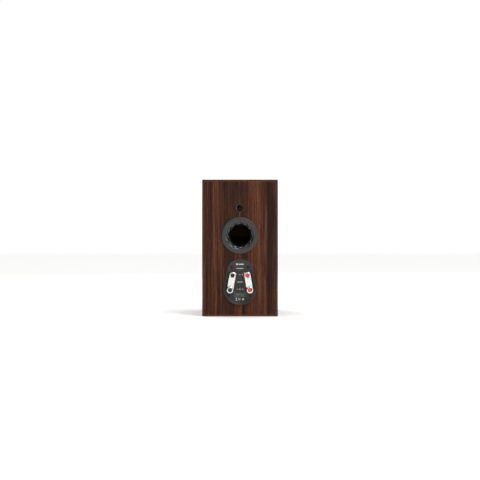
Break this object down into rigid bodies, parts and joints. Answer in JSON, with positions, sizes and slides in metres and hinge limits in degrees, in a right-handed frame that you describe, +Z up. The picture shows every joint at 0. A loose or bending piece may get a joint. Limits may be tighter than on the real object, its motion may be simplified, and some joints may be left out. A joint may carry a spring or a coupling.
{
  "type": "bookshelf speaker",
  "caption": "Two-way bookshelf loudspeaker in a veneered cabinet, with a rear reflex port, screw binding posts with plug caps, swinging jumper links and moving drivers.",
  "frame": {"origin": "centre of the cabinet's flat underside", "axes": "+Z up; the drivers face -Y and the terminals face +Y; +X is to the right seen from the front"},
  "size_m": [0.165, 0.2934, 0.298],
  "materials": {
    "walnut_veneer": "dark walnut veneer with vertical grain, satin lacquer",
    "bare_board": "raw wood fibre board",
    "pad_fibre": "off-white polyester fibre pads",
    "port_plastic": "dark grey moulded ABS, fine texture",
    "terminal_plastic": "dark grey moulded plastic, satin",
    "black_oxide_steel": "blackened steel, semi-gloss",
    "zinc_steel": "zinc-plated steel",
    "nickel_plate": "bright nickel plating on brass",
    "tinned_copper": "tinned copper",
    "black_plastic": "black moulded plastic",
    "black_cap": "glossy black plastic",
    "red_cap": "glossy red plastic",
    "faceplate_plastic": "fine-textured black moulded plastic",
    "mesh_steel": "black powder-coated perforated steel",
    "dome_alloy": "anodised aluminium, satin",
    "cone_alloy": "anodised aluminium cone, satin",
    "rubber_roll": "matte black butyl rubber",
    "spider_cloth": "resin-treated woven cotton",
    "copper_coil": "enamelled copper winding",
    "basket_alloy": "cast aluminium, dark grey paint",
    "trim_plastic": "black satin moulded ring",
    "ferrite": "dark grey sintered ferrite",
    "gasket_foam": "closed-cell foam",
    "circuit_board": "green glass-epoxy board",
    "capacitor_film": "blue film wrap with epoxy ends",
    "resistor_cement": "white cement body",
    "nylon": "natural nylon",
    "wire_jacket": "red and black PVC insulation"
  },
  "bodies": {
    "cabinet": {"left_side": "walnut_veneer", "right_side": "walnut_veneer", "top_board": "walnut_veneer", "bottom_board": "walnut_veneer", "front_baffle": "walnut_veneer", "rear_panel": "walnut_veneer", "window_brace": "bare_board", "damping_pads": "pad_fibre", "port_flange": "port_plastic", "port_tube": "port_plastic", "tie_bolt": "black_oxide_steel", "tie_bolt_washer": "zinc_steel", "terminal_panel": "terminal_plastic", "terminal_screws": "black_oxide_steel", "post_studs": "nickel_plate", "post_washers": "nickel_plate", "post_collars": "black_plastic", "post_nuts": "zinc_steel", "solder_tags": "tinned_copper", "tweeter_faceplate": "faceplate_plastic", "tweeter_mesh": "mesh_steel", "tweeter_surround": "rubber_roll", "tweeter_pole_plate": "zinc_steel", "tweeter_magnet": "ferrite", "tweeter_cup": "zinc_steel", "tweeter_rear_chamber": "black_plastic", "woofer_trim_ring": "trim_plastic", "woofer_basket": "basket_alloy", "woofer_screws": "black_oxide_steel", "woofer_surround": "rubber_roll", "woofer_spider": "spider_cloth", "woofer_front_plate": "zinc_steel", "woofer_magnet": "ferrite", "woofer_yoke": "zinc_steel", "mounting_gaskets": "gasket_foam", "driver_tags": "tinned_copper", "crossover_board": "circuit_board", "crossover_coils": "copper_coil", "crossover_capacitors": "capacitor_film", "crossover_resistors": "resistor_cement", "crossover_standoffs": "nylon", "wiring_loom": "wire_jacket"},
    "woofer_diaphragm": {"woofer_cone": "cone_alloy", "woofer_dust_cap": "cone_alloy", "woofer_voice_coil": "copper_coil"},
    "tweeter_diaphragm": {"tweeter_dome": "dome_alloy", "tweeter_voice_coil": "copper_coil"},
    "ring_hf_neg": {"clamp_ring_hf_neg": "nickel_plate"},
    "knob_hf_neg": {"knob_hf_neg": "nickel_plate"},
    "cap_hf_neg": {"plug_cap_hf_neg": "black_cap"},
    "ring_hf_pos": {"clamp_ring_hf_pos": "nickel_plate"},
    "knob_hf_pos": {"knob_hf_pos": "nickel_plate"},
    "cap_hf_pos": {"plug_cap_hf_pos": "red_cap"},
    "ring_lf_neg": {"clamp_ring_lf_neg": "nickel_plate"},
    "knob_lf_neg": {"knob_lf_neg": "nickel_plate"},
    "cap_lf_neg": {"plug_cap_lf_neg": "black_cap"},
    "ring_lf_pos": {"clamp_ring_lf_pos": "nickel_plate"},
    "knob_lf_pos": {"knob_lf_pos": "nickel_plate"},
    "cap_lf_pos": {"plug_cap_lf_pos": "red_cap"},
    "link_neg": {"jumper_link_neg": "nickel_plate"},
    "link_pos": {"jumper_link_pos": "nickel_plate"}
  },
  "joints": [
    {"name": "woofer_travel", "type": "slide", "parent": "cabinet", "child": "woofer_diaphragm", "axis": [0, -1, 0], "range_m": [-0.005, 0.005], "stiffness_N_per_m": 1000, "deforming": ["woofer_surround", "woofer_spider"]},
    {"name": "tweeter_travel", "type": "slide", "parent": "cabinet", "child": "tweeter_diaphragm", "axis": [0, -1, 0], "range_m": [-0.0004, 0.0004], "stiffness_N_per_m": 4000, "deforming": ["tweeter_surround"]},
    {"name": "ring_hf_neg_slide", "type": "slide", "parent": "cabinet", "child": "ring_hf_neg", "axis": [0, 1, 0], "range_m": [0, 0.0061]},
    {"name": "knob_hf_neg_turn", "type": "hinge", "parent": "ring_hf_neg", "child": "knob_hf_neg", "pos_m": [0.0161, 0.1495, 0.0896], "axis": [0, 1, 0], "range_deg": [0, 2160]},
    {"name": "cap_hf_neg_pull", "type": "slide", "parent": "cabinet", "child": "cap_hf_neg", "axis": [0, 1, 0], "range_m": [0, 0.04]},
    {"name": "ring_hf_pos_slide", "type": "slide", "parent": "cabinet", "child": "ring_hf_pos", "axis": [0, 1, 0], "range_m": [0, 0.0061]},
    {"name": "knob_hf_pos_turn", "type": "hinge", "parent": "ring_hf_pos", "child": "knob_hf_pos", "pos_m": [-0.0161, 0.1495, 0.0896], "axis": [0, 1, 0], "range_deg": [0, 2160]},
    {"name": "cap_hf_pos_pull", "type": "slide", "parent": "cabinet", "child": "cap_hf_pos", "axis": [0, 1, 0], "range_m": [0, 0.04]},
    {"name": "ring_lf_neg_slide", "type": "slide", "parent": "cabinet", "child": "ring_lf_neg", "axis": [0, 1, 0], "range_m": [0, 0.0061]},
    {"name": "knob_lf_neg_turn", "type": "hinge", "parent": "ring_lf_neg", "child": "knob_lf_neg", "pos_m": [0.0216, 0.1495, 0.0583], "axis": [0, 1, 0], "range_deg": [0, 2160]},
    {"name": "cap_lf_neg_pull", "type": "slide", "parent": "cabinet", "child": "cap_lf_neg", "axis": [0, 1, 0], "range_m": [0, 0.04]},
    {"name": "ring_lf_pos_slide", "type": "slide", "parent": "cabinet", "child": "ring_lf_pos", "axis": [0, 1, 0], "range_m": [0, 0.0061]},
    {"name": "knob_lf_pos_turn", "type": "hinge", "parent": "ring_lf_pos", "child": "knob_lf_pos", "pos_m": [-0.0216, 0.1495, 0.0583], "axis": [0, 1, 0], "range_deg": [0, 2160]},
    {"name": "cap_lf_pos_pull", "type": "slide", "parent": "cabinet", "child": "cap_lf_pos", "axis": [0, 1, 0], "range_m": [0, 0.04]},
    {"name": "link_neg_swing", "type": "hinge", "parent": "cabinet", "child": "link_neg", "pos_m": [0.0161, 0.13975, 0.0896], "axis": [0, 1, 0], "range_deg": [0, 45]},
    {"name": "link_pos_swing", "type": "hinge", "parent": "cabinet", "child": "link_pos", "pos_m": [-0.0161, 0.13975, 0.0896], "axis": [0, 1, 0], "range_deg": [0, 45]}
  ],
  "couplings": [
    {"joint": "ring_hf_neg_slide", "follows": "knob_hf_neg_turn", "m_per_rad": 0.00015915},
    {"joint": "ring_hf_pos_slide", "follows": "knob_hf_pos_turn", "m_per_rad": 0.00015915},
    {"joint": "ring_lf_neg_slide", "follows": "knob_lf_neg_turn", "m_per_rad": 0.00015915},
    {"joint": "ring_lf_pos_slide", "follows": "knob_lf_pos_turn", "m_per_rad": 0.00015915}
  ]
}
